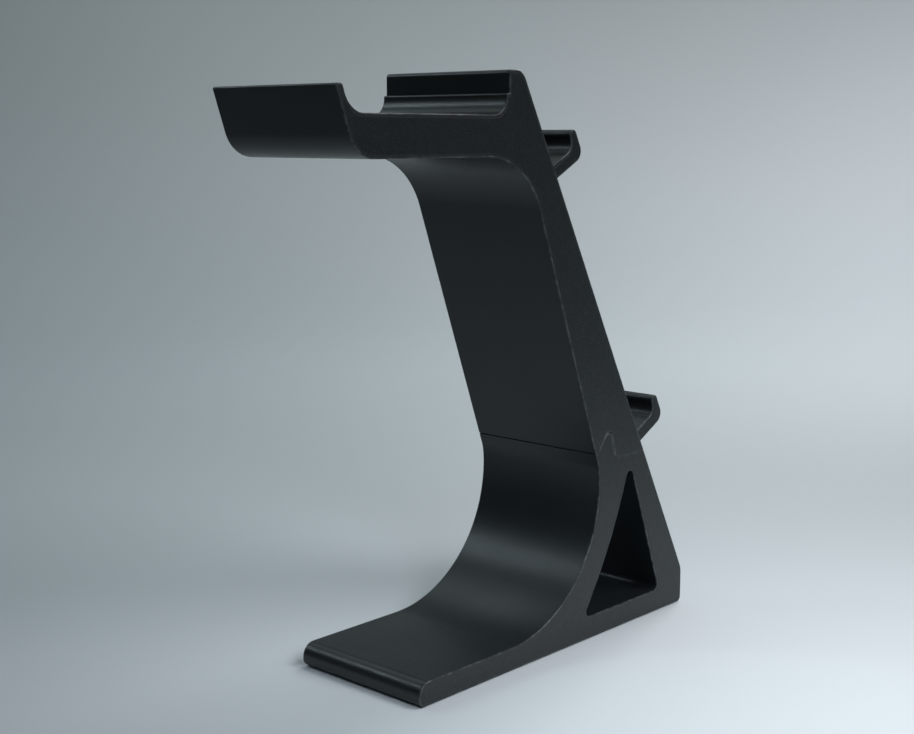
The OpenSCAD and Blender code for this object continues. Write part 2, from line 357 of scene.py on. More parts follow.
@dataclass(frozen=True)
class MottledMetal:
    """Small hardware: a bare metal whose tone and gloss change over a few tenths of a millimetre."""

    name: str
    colour: str
    stained: str
    roughness: float
    mottle: float
    mottle_depth: float = 0.01
    gloss_change: float = 0.2

    def build(self) -> bpy.types.Material:
        """Build the material.

        Returns:
            The material.
        """
        material, tree, skin = shader(self.name)
        place = add_node(tree, "ShaderNodeTexCoord").outputs["Object"]
        mottle = add_node(
            tree,
            "ShaderNodeTexNoise",
            {"Vector": place, "Scale": 1 / (self.mottle * MM), "Detail": 5.0, "Roughness": 0.65},
        )
        tone = add_node(
            tree,
            "ShaderNodeMix",
            {0: mottle, 6: linear(self.colour), 7: linear(self.stained)},
            data_type="RGBA",
        )
        change: Inputs = {0: mottle, 1: self.gloss_change, 2: self.roughness - self.gloss_change / 2}
        gloss = add_node(tree, "ShaderNodeMath", change, operation="MULTIPLY_ADD")
        bump = add_node(tree, "ShaderNodeBump", {"Height": mottle, "Distance": self.mottle_depth * MM, "Strength": 0.6})
        looks: Inputs = {"Base Color": tone.outputs[2], "Roughness": gloss, "Normal": bump, "Metallic": 1.0}
        set_inputs(tree, skin, looks)
        return material


@dataclass(frozen=True)
class MattRubber:
    """Moulded nitrile rubber: near black and matt, with a fine eggshell grain and a little dust in it."""

    name: str = "black_nitrile_rubber_moulded"
    colour: str = "#191a1b"
    dusty: str = "#3c3d3c"
    roughness: float = 0.78
    ior: float = 1.52
    grain: float = 0.25
    grain_depth: float = 0.03
    dust: float = 1.8
    gloss_change: float = 0.16

    def build(self) -> bpy.types.Material:
        """Build the material.

        Returns:
            The material.
        """
        material, tree, skin = shader(self.name)
        place = add_node(tree, "ShaderNodeTexCoord").outputs["Object"]
        grain = add_node(tree, "ShaderNodeTexNoise", {"Vector": place, "Scale": 1 / (self.grain * MM), "Detail": 3.0})
        dust = add_node(
            tree,
            "ShaderNodeTexNoise",
            {"Vector": place, "Scale": 1 / (self.dust * MM), "Detail": 8.0, "Roughness": 0.7},
        )
        settled = add_node(
            tree,
            "ShaderNodeMapRange",
            {"Value": dust, "From Min": 0.5, "From Max": 0.85, "To Min": 0.0, "To Max": 0.8},
        )
        tone = add_node(
            tree,
            "ShaderNodeMix",
            {0: settled, 6: linear(self.colour), 7: linear(self.dusty)},
            data_type="RGBA",
        )
        change: Inputs = {0: dust, 1: self.gloss_change, 2: self.roughness - self.gloss_change / 2}
        gloss = add_node(tree, "ShaderNodeMath", change, operation="MULTIPLY_ADD")
        bump = add_node(tree, "ShaderNodeBump", {"Height": grain, "Distance": self.grain_depth * MM, "Strength": 0.8})
        looks: Inputs = {"Base Color": tone.outputs[2], "Roughness": gloss, "Normal": bump, "IOR": self.ior}
        set_inputs(tree, skin, looks)
        return material


@dataclass(frozen=True)
class StudioPaper:
    """Seamless grey background paper: flat and matt, with a faint cloudiness so that its light falls off softly."""

    name: str = "grey_background_paper"
    colour: str = "#b9c1c6"
    shaded: str = "#aeb7bd"
    roughness: float = 0.6
    cloud: float = 900.0

    def build(self) -> bpy.types.Material:
        """Build the material.

        Returns:
            The material.
        """
        material, tree, skin = shader(self.name)
        place = add_node(tree, "ShaderNodeTexCoord").outputs["Object"]
        cloud = add_node(tree, "ShaderNodeTexNoise", {"Vector": place, "Scale": 1 / (self.cloud * MM), "Detail": 2.0})
        tone = add_node(
            tree,
            "ShaderNodeMix",
            {0: cloud, 6: linear(self.colour), 7: linear(self.shaded)},
            data_type="RGBA",
        )
        set_inputs(tree, skin, {"Base Color": tone.outputs[2], "Roughness": self.roughness})
        return material


# Meshes


def mesh_object(name: str, points: Iterable[Sequence[float]], faces: Iterable[Sequence[int]]) -> bpy.types.Object:
    """Make a mesh object from points in millimetres.

    Args:
        name: Name of the object.
        points: Corners as x, y, z.
        faces: Corner numbers of each face, counter-clockwise from outside.

    Returns:
        The object, linked to the scene.
    """
    mesh = bpy.data.meshes.new(name)
    mesh.from_pydata([tuple(float(v) * MM for v in p) for p in points], [], [tuple(f) for f in faces])
    made = bpy.data.objects.new(name, mesh)
    bpy.context.scene.collection.objects.link(made)
    return made


def settle(made: bpy.types.Object) -> bpy.types.Object:
    """Turn an object's evaluated mesh into its plain mesh and drop its modifiers.

    Args:
        made: The object.

    Returns:
        The object with a plain mesh.
    """
    bpy.context.view_layer.update()
    seen = made.evaluated_get(bpy.context.evaluated_depsgraph_get())
    mesh = bpy.data.meshes.new_from_object(seen)
    made.modifiers.clear()
    made.data = mesh
    mesh.name = made.name
    return made


def grow(made: bpy.types.Object, tree: bpy.types.NodeTree, sizes: dict[str, object]) -> bpy.types.Object:
    """Run a Geometry Nodes tree on an object and keep its result as a plain mesh.

    Args:
        made: Object whose mesh the tree starts from.
        tree: The tree.
        sizes: Value for each named input.

    Returns:
        The object with the grown mesh.
    """
    step = made.modifiers.new(tree.name, "NODES")
    step.node_group = tree
    for item in tree.interface.items_tree:
        if item.in_out == "INPUT" and item.name in sizes:
            step[item.identifier] = sizes[item.name]
    return settle(made)


def cut(made: bpy.types.Object, tools: Sequence[bpy.types.Object]) -> bpy.types.Object:
    """Cut tool solids out of a solid.

    Args:
        made: The solid.
        tools: Closed solids to take away. They are deleted.

    Returns:
        The solid with a plain mesh.
    """
    for tool in tools:
        step = made.modifiers.new(tool.name, "BOOLEAN")
        step.operation, step.solver, step.object = "DIFFERENCE", "EXACT", tool
    settle(made)
    for tool in tools:
        bpy.data.objects.remove(tool)
    return made


def smooth(made: bpy.types.Object, sharp: float = CREASE) -> bpy.types.Object:
    """Merge a mesh's doubles, point its faces outwards and shade its curves smooth while flat faces stay flat.

    Args:
        made: Object to finish.
        sharp: Angle in degrees past which an edge stays sharp.

    Returns:
        The object with a plain mesh.
    """
    work = bmesh.new()
    work.from_mesh(made.data)
    bmesh.ops.remove_doubles(work, verts=work.verts, dist=MERGE * MM)
    bmesh.ops.dissolve_degenerate(work, edges=work.edges, dist=SLIVER * MM)
    bmesh.ops.recalc_face_normals(work, faces=work.faces)
    for face in work.faces:
        face.smooth = True
    work.to_mesh(made.data)
    work.free()
    made.data.set_sharp_from_angle(angle=math.radians(sharp))
    weights = made.modifiers.new("weights", "WEIGHTED_NORMAL")
    weights.mode, weights.weight, weights.keep_sharp = "FACE_AREA", 100, True
    return settle(made)


def box(name: str, low: Sequence[float], high: Sequence[float], place: Matrix | None = None) -> bpy.types.Object:
    """Make a box.

    Args:
        name: Name of the object.
        low: Lowest corner in millimetres.
        high: Highest corner in millimetres.
        place: Where the box goes, in millimetres.

    Returns:
        The box.
    """
    corners = [Vector((x, y, z)) for x in (low[0], high[0]) for y in (low[1], high[1]) for z in (low[2], high[2])]
    faces = [(0, 1, 3, 2), (4, 6, 7, 5), (0, 4, 5, 1), (2, 3, 7, 6), (0, 2, 6, 4), (1, 5, 7, 3)]
    place = place or Matrix.Identity(4)
    return mesh_object(name, [place @ c for c in corners], faces)


def turned(name: str, profile: Sequence[Point], place: Matrix, sides: int = 48) -> bpy.types.Object:
    """Turn a profile round the Z axis into a closed solid.

    Args:
        name: Name of the object.
        profile: Radius and height of each step in millimetres, from the bottom up.
        place: Where the solid goes, in millimetres.
        sides: Number of sides of each ring.

    Returns:
        The solid.
    """
    turn = [(math.cos(a), math.sin(a)) for a in (2 * math.pi * i / sides for i in range(sides))]
    points = [place @ Vector((r * c, r * s, z)) for r, z in profile for c, s in turn]
    faces: list[tuple[int, ...]] = [tuple(reversed(range(sides)))]
    for ring in range(len(profile) - 1):
        first = ring * sides
        for i in range(sides):
            after = (i + 1) % sides
            faces.append((first + i, first + after, first + after + sides, first + i + sides))
    last = (len(profile) - 1) * sides
    faces.append(tuple(range(last, last + sides)))
    return mesh_object(name, points, faces)


def end_loops(name: str, frame: dict) -> tuple[list[np.ndarray], float]:
    """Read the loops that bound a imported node's +X end face.

    Args:
        name: Name of the node.

    Returns:
        Each loop's y and z in millimetres with the solid on its left, and the half width of the node.
    """
    mesh = frame["nodes"][name].data
    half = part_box(name)[1][0] / MM
    found: dict[tuple[int, ...], int] = {}
    number = [
        found.setdefault(tuple(round(c * MICRONS) for c in corner.co), len(found)) for corner in mesh.vertices
    ]
    spot = {i: np.array(key) / (MICRONS * MM) for key, i in found.items()}
    edges: set[tuple[int, int]] = set()
    for face in mesh.polygons:
        corners = [number[i] for i in face.vertices]
        if all(abs(spot[i][0] - half) < TOUCH for i in corners):
            edges.update(zip(corners, corners[1:] + corners[:1]))
    follow = {a: b for a, b in edges if (b, a) not in edges}
    loops = []
    while follow:
        start = min(follow)
        loop, after = [start], follow.pop(start)
        while after != start:
            loop.append(after)
            after = follow.pop(after)
        loops.append(np.array([spot[i][1:] for i in loop]))
    return loops, half


def inset(loop: np.ndarray, depth: float) -> np.ndarray:
    """Move a loop into its solid, each corner along its mitre.

    Args:
        loop: Corners of the loop.
        depth: How far it moves, in millimetres.

    Returns:
        As many corners as the loop has.
    """
    along = np.roll(loop, -1, 0) - loop
    along /= np.linalg.norm(along, axis=1)[:, None]
    left = np.stack([-along[:, 1], along[:, 0]], 1)
    before = np.roll(left, 1, 0)
    return loop + depth * (left + before) / (1 + (left * before).sum(1))[:, None]


def divided(loop: np.ndarray, step: float) -> np.ndarray:
    """Add corners to a loop so that none of its edges is longer than a step.

    Args:
        loop: Corners of the loop.
        step: Longest edge, in millimetres.

    Returns:
        The old and the new corners.
    """
    parts = []
    for start, end in zip(loop, np.roll(loop, -1, 0)):
        count = max(1, math.ceil(np.linalg.norm(end - start) / step))
        parts += [start + (end - start) * i / count for i in range(count)]
    return np.array(parts)


def bead_lines(loops: Sequence[np.ndarray], depth: float, step: float = 0.25) -> list[np.ndarray]:
    """Trace the lines that run at one depth inside an end face, where no other wall is nearer.

    Args:
        loops: Loops that bound the end face.
        depth: Distance of the lines from the loops, in millimetres.
        step: Spacing at which the distance is tested.

    Returns:
        The lines as closed loops.
    """
    starts = np.concatenate(loops)
    runs = np.concatenate([np.roll(loop, -1, 0) for loop in loops]) - starts
    squared = (runs**2).sum(1)
    lines = []
    for loop in loops:
        raw = inset(divided(loop, step), depth)
        to = raw[:, None] - starts
        share = np.clip((to * runs).sum(2) / squared, 0, 1)
        gap = np.linalg.norm(to - share[..., None] * runs, axis=2).min(1)
        kept = raw[gap > depth - TOUCH]
        back, on = kept - np.roll(kept, 1, 0), np.roll(kept, -1, 0) - kept
        bend = np.abs(back[:, 0] * on[:, 1] - back[:, 1] * on[:, 0])
        kept = kept[bend > STRAIGHT * np.linalg.norm(back, axis=1) * np.linalg.norm(on, axis=1)]
        if len(kept) > 2:
            lines.append(kept)
    return lines


def inside(points: np.ndarray, loops: Sequence[np.ndarray]) -> np.ndarray:
    """Say which points an odd number of loops goes round.

    Args:
        points: The points.
        loops: The loops.

    Returns:
        True or false for each point.
    """
    odd = np.zeros(len(points), bool)
    for loop in loops:
        for (y0, z0), (y1, z1) in zip(loop, np.roll(loop, -1, 0)):
            if z0 != z1:
                crosses = (z0 > points[:, 1]) != (z1 > points[:, 1])
                odd ^= crosses & (points[:, 0] < y0 + (points[:, 1] - z0) * (y1 - y0) / (z1 - z0))
    return odd


# Sub-assemblies


@dataclass
class PrintedPiece:
    """A piece printed on its side: one outline swept across the stand, its end edges rounded by the outer bead."""

    node: str
    name: str
    edge_round: float = 0.35
    edge_steps: int = 4
    bead: float = 0.4
    bead_count: int = 3
    bead_groove: float = 0.05
    skin_depth: float = 1.5

    def end_profile(self) -> list[Point3]:
        """List the wall beads of an end face.

        Returns:
            Depth inside the outline, sink below the end face, and distance from the rounded edge.
        """
        rows = [(self.edge_round, 0.0, 0.0)]
        for i in range(self.bead_count):
            groove = self.edge_round + self.bead * (i + 0.5)
            rows.append((groove, self.bead_groove, groove - self.edge_round))
            crown = groove + self.bead / 2
            rows.append((crown, 0.0, crown - self.edge_round))
        return rows

    def sweep(self, frame: dict) -> bpy.types.Object:
        """Sweep the node's outline into a closed solid with a skin map.


        Returns:
            The solid.
        """
        loops, half = end_loops(self.node, frame)
        points: list[Point3] = []
        faces: list[tuple[int, ...]] = []
        skins: list[Point] = []

        # Walls: rings from the -X end to the +X end, closely spaced round the two edges
        quarter = [math.pi / 2 * i / self.edge_steps for i in range(self.edge_steps + 1)]
        r = self.edge_round
        rings = [(half - r * (1 - math.cos(a)), r * (1 - math.sin(a)), 0.0) for a in quarter]
        rings.append((half - r - self.skin_depth, 0.0, self.skin_depth))
        rings = [(-x, sink, edge) for x, sink, edge in rings] + rings[::-1]
        for loop in loops:
            base, count = len(points), len(loop)
            for x, sink, _ in rings:
                points += [(x, y, z) for y, z in inset(loop, sink)]
            for ring in range(len(rings) - 1):
                near, far = rings[ring][2], rings[ring + 1][2]
                for i in range(count):
                    after = (i + 1) % count
                    low, high = base + ring * count, base + (ring + 1) * count
                    faces.append((low + i, low + after, high + after, high + i))
                    skins += [(e, EndFace.WALL.value) for e in (near, near, far, far)]

        # End faces: the wall beads are grooves round the flat infill
        spots: list[Sequence[float]] = []
        edges: list[tuple[int, int]] = []
        details: list[Point] = []
        rims = [inset(loop, r) for loop in loops]
        for depth, sink, edge in self.end_profile():
            for line in rims if edge == 0 else bead_lines(loops, depth):
                first, count = len(spots), len(line)
                spots += [tuple(p) for p in line]
                details += [(sink, edge)] * count
                edges += [(first + i, first + (i + 1) % count) for i in range(count)]
        flat, _, triangles, source, _, _ = delaunay_2d_cdt([Vector(s) for s in spots], edges, [], 0, 1e-6)
        flat = np.array([tuple(v) for v in flat])
        triangles = np.array(triangles)
        triangles = triangles[inside(flat[triangles].mean(1), rims)]
        detail = [details[ids[0]] if ids else (0.0, self.skin_depth) for ids in source]
        for sign, end in ((1, EndFace.TOP_LAYER), (-1, EndFace.BED_LAYER)):
            base = len(points)
            points += [(sign * (half - sink), y, z) for (y, z), (sink, _) in zip(flat, detail)]
            for triangle in triangles:
                order = [int(i) for i in (triangle if sign > 0 else triangle[::-1])]
                faces.append(tuple(base + i for i in order))
                skins += [(detail[i][1], end.value) for i in order]

        made = mesh_object(self.name, points, faces)
        skin = made.data.uv_layers.new(name=SKIN_MAP)
        skin.data.foreach_set("uv", [v for pair in skins for v in pair])
        return made


@dataclass
class RearFace:
    """The leaning rear face of the stand, which takes the rests."""

    y_top: float = -9.85
    z_top: float = 242.0
    y_low: float = 108.15
    z_low: float = 16.3

    @property
    def lean(self) -> float:
        """Angle between the face and the upright, in radians."""
        return math.atan2(self.y_low - self.y_top, self.z_top - self.z_low)

    def place(self, z: float, along: float = 0.0, x: float = 0.0) -> Matrix:
        """Give the frame of a spot on the face: X across the stand, Y down the face, Z out of it.

        Args:
            z: Height of the rest's shelf where it meets the face.
            along: How far the spot lies up the face from there.
            x: How far it lies to the side.

        Returns:
            The placement in millimetres.
        """
        slope = math.tan(self.lean)
        spot = Vector((x, self.y_top + (self.z_top - z) * slope, z))
        spot += Vector((0, -math.sin(self.lean), math.cos(self.lean))) * along
        return Matrix.Translation(spot) @ Matrix.Rotation(self.lean - math.pi / 2, 4, "X")


@dataclass
class Fasteners:
    """Countersunk socket screws and the knurled inserts that take them.

    Thread, head, socket and rib are radii. The knurl's share and lift are parts of the insert's length, its slant is
    in degrees, the overlap is how far the shank runs into the head, and the spread is how far apart a row's two
    screws are.
    """

    thread: float = 1.5
    head: float = 2.9
    length: float = 8.0
    clearance: float = 0.2
    pitch: float = 0.5
    thread_depth: float = 0.22
    thread_sides: int = 28
    thread_rings: int = 72
    round_sides: int = 48
    socket: float = 1.15
    socket_depth: float = 1.1
    insert_wall: float = 0.8
    insert_length: float = 4.0
    insert_gap: float = 0.05
    insert_rib: float = 0.18
    insert_ribs: int = 28
    knurl_slant: float = 28.0
    knurl_share: float = 0.36
    knurl_lift: float = 0.26
    overlap: float = 0.3
    spread: float = 26.0
    plate: float = 4.0
    plate_gap: float = 0.2

    @property
    def cone(self) -> float:
        """Height of a head."""
        return self.head - self.thread

    @property
    def hole(self) -> float:
        """Radius of the hole for an insert."""
        return self.thread + self.insert_wall + self.insert_gap

    def spots(self, rear: RearFace, z: float, rows: Sequence[float]) -> list[Matrix]:
        """Give the placement of each screw of a rest."""
        return [rear.place(z, row, side * self.spread / 2) for row in rows for side in (-1, 1)]

    def screw_tree(self) -> bpy.types.NodeTree:
        """Build the tree that sets a threaded countersunk screw on each point.

        Returns:
            The tree. Its sizes are in metres.
        """
        sizes = ("Thread Radius", "Head Radius", "Length", "Pitch", "Thread Depth", "Socket Radius", "Socket Depth")
        sockets = {**dict.fromkeys(sizes, "Float"), "Rotation": "Rotation"}
        tree, given = start_tree("countersunk_screws", sockets)
        thread, head, length = given["Thread Radius"], given["Head Radius"], given["Length"]

        # Head: a cone whose top face lies at z = 0
        cone = add_node(tree, "ShaderNodeMath", {0: head, 1: thread}, operation="SUBTRACT")
        cone_low = add_node(tree, "ShaderNodeMath", {0: cone, 1: -1.0}, operation="MULTIPLY")
        head_cone = add_node(
            tree,
            "GeometryNodeMeshCone",
            {"Vertices": self.round_sides, "Radius Top": head, "Radius Bottom": thread, "Depth": cone},
        )
        head_spot = add_node(tree, "ShaderNodeCombineXYZ", {"Z": cone_low})
        head_set = add_node(tree, "GeometryNodeTransform", {"Geometry": head_cone, "Translation": head_spot})

        # Thread: a finely divided cylinder drawn in by a saw that climbs one pitch a turn
        shank_long = add_node(tree, "ShaderNodeMath", {0: length, 1: cone}, operation="SUBTRACT")
        shank_full = add_node(tree, "ShaderNodeMath", {0: shank_long, 1: self.overlap * MM}, operation="ADD")
        shank = add_node(
            tree,
            "GeometryNodeMeshCylinder",
            {"Vertices": self.thread_sides, "Side Segments": self.thread_rings, "Radius": thread, "Depth": shank_full},
        )
        half = add_node(tree, "ShaderNodeMath", {0: shank_full, 1: 0.5}, operation="MULTIPLY")
        shank_mid = add_node(tree, "ShaderNodeMath", {0: half, 1: length}, operation="SUBTRACT")
        shank_spot = add_node(tree, "ShaderNodeCombineXYZ", {"Z": shank_mid})
        shank_low = add_node(tree, "GeometryNodeTransform", {"Geometry": shank, "Translation": shank_spot})
        spot = add_node(tree, "GeometryNodeInputPosition")
        axes = add_node(tree, "ShaderNodeSeparateXYZ", {0: spot})
        angle = add_node(tree, "ShaderNodeMath", {0: axes.outputs["Y"], 1: axes.outputs["X"]}, operation="ARCTAN2")
        turns = add_node(tree, "ShaderNodeMath", {0: angle, 1: 2 * math.pi}, operation="DIVIDE")
        rise = add_node(tree, "ShaderNodeMath", {0: axes.outputs["Z"], 1: given["Pitch"]}, operation="DIVIDE")
        phase = add_node(tree, "ShaderNodeMath", {0: rise, 1: turns}, operation="ADD")
        saw = add_node(tree, "ShaderNodeMath", {0: phase, 1: 0.5}, operation="PINGPONG")
        share = add_node(tree, "ShaderNodeMath", {0: given["Thread Depth"], 1: thread}, operation="DIVIDE")
        drawn = add_node(tree, "ShaderNodeMath", {0: saw, 1: share}, operation="MULTIPLY")
        keep = add_node(tree, "ShaderNodeMath", {0: drawn, 1: -2.0, 2: 1.0}, operation="MULTIPLY_ADD")
        scale = add_node(tree, "ShaderNodeCombineXYZ", {"X": keep, "Y": keep, "Z": 1.0})
        moved = add_node(tree, "ShaderNodeVectorMath", {0: spot, 1: scale}, operation="MULTIPLY")
        threaded = add_node(tree, "GeometryNodeSetPosition", {"Geometry": shank_low, "Position": moved})
        whole = add_node(tree, "GeometryNodeMeshBoolean", {"Mesh 2": head_set}, operation="UNION", solver="EXACT")
        set_inputs(tree, whole, {"Mesh 2": threaded})

        # Hexagon socket
        hexagon_long = add_node(tree, "ShaderNodeMath", {0: given["Socket Depth"], 1: 2.0}, operation="MULTIPLY")
        hexagon = add_node(
            tree,
            "GeometryNodeMeshCylinder",
            {"Vertices": 6, "Radius": given["Socket Radius"], "Depth": hexagon_long},
        )
        solids: Inputs = {"Mesh 1": whole, "Mesh 2": hexagon}
        bored = add_node(tree, "GeometryNodeMeshBoolean", solids, operation="DIFFERENCE", solver="EXACT")
        spread = add_node(
            tree,
            "GeometryNodeInstanceOnPoints",
            {"Points": given["Geometry"], "Instance": bored, "Rotation": given["Rotation"]},
        )
        return end_tree(tree, spread, given["Material"])

    def insert_tree(self) -> bpy.types.NodeTree:
        """Build the tree that sets a knurled insert on each point.

        Returns:
            The tree. Its sizes are in metres.
        """
        sizes = ("Middle Radius", "Wall", "Length", "Knurl Radius", "Rib")
        sockets = {**dict.fromkeys(sizes, "Float"), "Ribs": "Int", "Rotation": "Rotation"}
        tree, given = start_tree("knurled_inserts", sockets)

        # Tube: a rectangle carried round a circle, with its top at z = 0
        middle: Inputs = {"Resolution": self.round_sides, "Radius": given["Middle Radius"]}
        ring = add_node(tree, "GeometryNodeCurvePrimitiveCircle", middle)
        wall = add_node(
            tree,
            "GeometryNodeCurvePrimitiveQuadrilateral",
            {"Width": given["Wall"], "Height": given["Length"]},
        )
        tube = add_node(tree, "GeometryNodeCurveToMesh", {0: ring, 1: wall})
        parts = add_node(tree, "GeometryNodeJoinGeometry", {0: tube})

        # Two bands of slanted ribs, one turned each way, with a smooth groove between them
        band = add_node(tree, "ShaderNodeMath", {0: given["Length"], 1: self.knurl_share}, operation="MULTIPLY")
        rib = add_node(tree, "GeometryNodeMeshCylinder", {"Vertices": 4, "Radius": given["Rib"], "Depth": band})
        circle = add_node(tree, "GeometryNodeMeshCircle", {"Vertices": given["Ribs"], "Radius": given["Knurl Radius"]})
        spot = add_node(tree, "GeometryNodeInputPosition")
        axes = add_node(tree, "ShaderNodeSeparateXYZ", {0: spot})
        angle = add_node(tree, "ShaderNodeMath", {0: axes.outputs["Y"], 1: axes.outputs["X"]}, operation="ARCTAN2")
        for side in (-1, 1):
            tilt = add_node(tree, "ShaderNodeCombineXYZ", {"X": side * math.radians(self.knurl_slant), "Z": angle})
            ribs = add_node(tree, "GeometryNodeInstanceOnPoints", {"Points": circle, "Instance": rib, "Rotation": tilt})
            lift = add_node(
                tree, "ShaderNodeMath", {0: given["Length"], 1: side * self.knurl_lift}, operation="MULTIPLY"
            )
            away = add_node(tree, "ShaderNodeCombineXYZ", {"Z": lift})
            band_set = add_node(tree, "GeometryNodeTransform", {"Geometry": ribs, "Translation": away})
            set_inputs(tree, parts, {0: band_set})
        drop = add_node(tree, "ShaderNodeMath", {0: given["Length"], 1: -0.5}, operation="MULTIPLY")
        down = add_node(tree, "ShaderNodeCombineXYZ", {"Z": drop})
        insert = add_node(tree, "GeometryNodeTransform", {"Geometry": parts, "Translation": down})
        spread = add_node(
            tree,
            "GeometryNodeInstanceOnPoints",
            {"Points": given["Geometry"], "Instance": insert, "Rotation": given["Rotation"]},
        )
        return end_tree(tree, spread, given["Material"])

    def build_screws(self, name: str, spots: Sequence[Matrix], material: bpy.types.Material) -> bpy.types.Object:
        """Set a screw on each spot.

        Args:
            name: Name of the piece.
            spots: Placements on the rear face.
            material: Finish of the screws.

        Returns:
            One piece that holds the screws.
        """
        made = mesh_object(name, [spot.translation for spot in spots], [])
        sizes = {
            "Thread Radius": self.thread * MM,
            "Head Radius": self.head * MM,
            "Length": self.length * MM,
            "Pitch": self.pitch * MM,
            "Thread Depth": self.thread_depth * MM,
            "Socket Radius": self.socket * MM,
            "Socket Depth": self.socket_depth * MM,
            "Rotation": spots[0].to_euler(),
            "Material": material,
        }
        return smooth(grow(made, self.screw_tree(), sizes), FINE_CREASE)

    def build_inserts(self, name: str, spots: Sequence[Matrix], material: bpy.types.Material) -> bpy.types.Object:
        """Set an insert behind the plate at each spot.

        Args:
            name: Name of the piece.
            spots: Placements on the rear face.
            material: Finish of the inserts.

        Returns:
            One piece that holds the inserts.
        """
        inner, outer = self.thread + self.insert_gap, self.thread + self.insert_wall - self.insert_rib
        deep = Matrix.Translation((0, 0, -self.plate - self.plate_gap))
        made = mesh_object(name, [(spot @ deep).translation for spot in spots], [])
        sizes = {
            "Middle Radius": (inner + outer) / 2 * MM,
            "Wall": (outer - inner) * MM,
            "Length": self.insert_length * MM,
            "Knurl Radius": outer * MM,
            "Rib": self.insert_rib * MM,
            "Ribs": self.insert_ribs,
            "Rotation": spots[0].to_euler(),
            "Material": material,
        }
        return smooth(grow(made, self.insert_tree(), sizes), FINE_CREASE)


@dataclass
class Rest:
    """One controller rest: the plate let into the rear face, its shelf, and the screws and inserts that hold it.

    High and low are how far the plate runs up and down the face from the shelf, and rows says how far up the face
    from there each row of screws lies. Room is the depth left free under an insert. Past and clear are how far the
    tools that cut the countersinks and the pocket run on beyond what they cut.
    """

    name: str
    z: float
    rows: tuple[float, ...]
    high: float
    fasteners: Fasteners = field(default_factory=Fasteners)
    rear: RearFace = field(default_factory=RearFace)
    low: float = 26.0
    width: float = 44.0
    room: float = 1.0
    past: float = 1.0
    clear: float = 12.0

    def spots(self) -> list[Matrix]:
        """Give the placement of each of the rest's screws."""
        return self.fasteners.spots(self.rear, self.z, self.rows)

    def seat(self) -> list[bpy.types.Object]:
        """Make the tools that cut the rest's pocket and insert holes into the stand.

        Returns:
            The tools.
        """
        held, gap = self.fasteners, self.fasteners.plate_gap
        deep = held.plate + gap
        place = self.rear.place(self.z)
        low = (-self.width / 2 - gap, -self.high - gap, -deep)
        high = (self.width / 2 + gap, self.low + gap, self.clear)
        tools = [box(f"{self.name}_pocket", low, high, place)]
        bore = [(held.hole, -deep - held.insert_length - self.room), (held.hole, -deep + gap)]
        tools += [turned(f"{self.name}_bore", bore, spot) for spot in self.spots()]
        return tools

    def build(self, frame: dict, finish: bpy.types.Material) -> bpy.types.Object:
        """Build the shelf piece with its countersunk holes.

        Args:
            finish: Material of the printed pieces.

        Returns:
            The piece.
        """
        made = PrintedPiece(self.name, f"{self.name}_printed").sweep(frame)
        held, gap = self.fasteners, self.fasteners.clearance
        sink = [
            (held.thread + gap, -held.plate - self.past),
            (held.thread + gap, -held.cone),
            (held.head + gap, 0),
            (held.head + gap, self.past),
        ]
        cut(made, [turned(f"{self.name}_hole", sink, spot) for spot in self.spots()])
        made.data.materials.append(finish)
        return smooth(made)


@dataclass
class Body:
    """The printed stand: the foot and the column that is keyed onto it."""

    rests: Sequence[Rest]
    pads: Sequence[str]
    pad_gap: float = 0.15
    past: float = 1.0

    def pad_tools(self) -> list[bpy.types.Object]:
        """Make the tools that cut the pads' pockets into the underside.

        Returns:
            The tools.
        """
        tools = []
        for pad in self.pads:
            low, high = (Vector(corner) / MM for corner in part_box(pad))
            gap = Vector((self.pad_gap, self.pad_gap, 0.0))
            tools.append(box(f"{pad}_pocket", low - gap - Vector((0, 0, self.past)), high + gap))
        return tools

    def build(self, frame: dict, finish: bpy.types.Material) -> list[bpy.types.Object]:
        """Build the foot and the column.

        Args:
            finish: Material of the printed pieces.

        Returns:
            The foot and the column.
        """
        upper, lower = self.rests
        foot = PrintedPiece("foot", "foot_printed").sweep(frame)
        cut(foot, lower.seat() + self.pad_tools())
        column = PrintedPiece("column", "column_printed").sweep(frame)
        cut(column, upper.seat() + lower.seat())
        for made in (foot, column):
            made.data.materials.append(finish)
            smooth(made)
        return [foot, column]


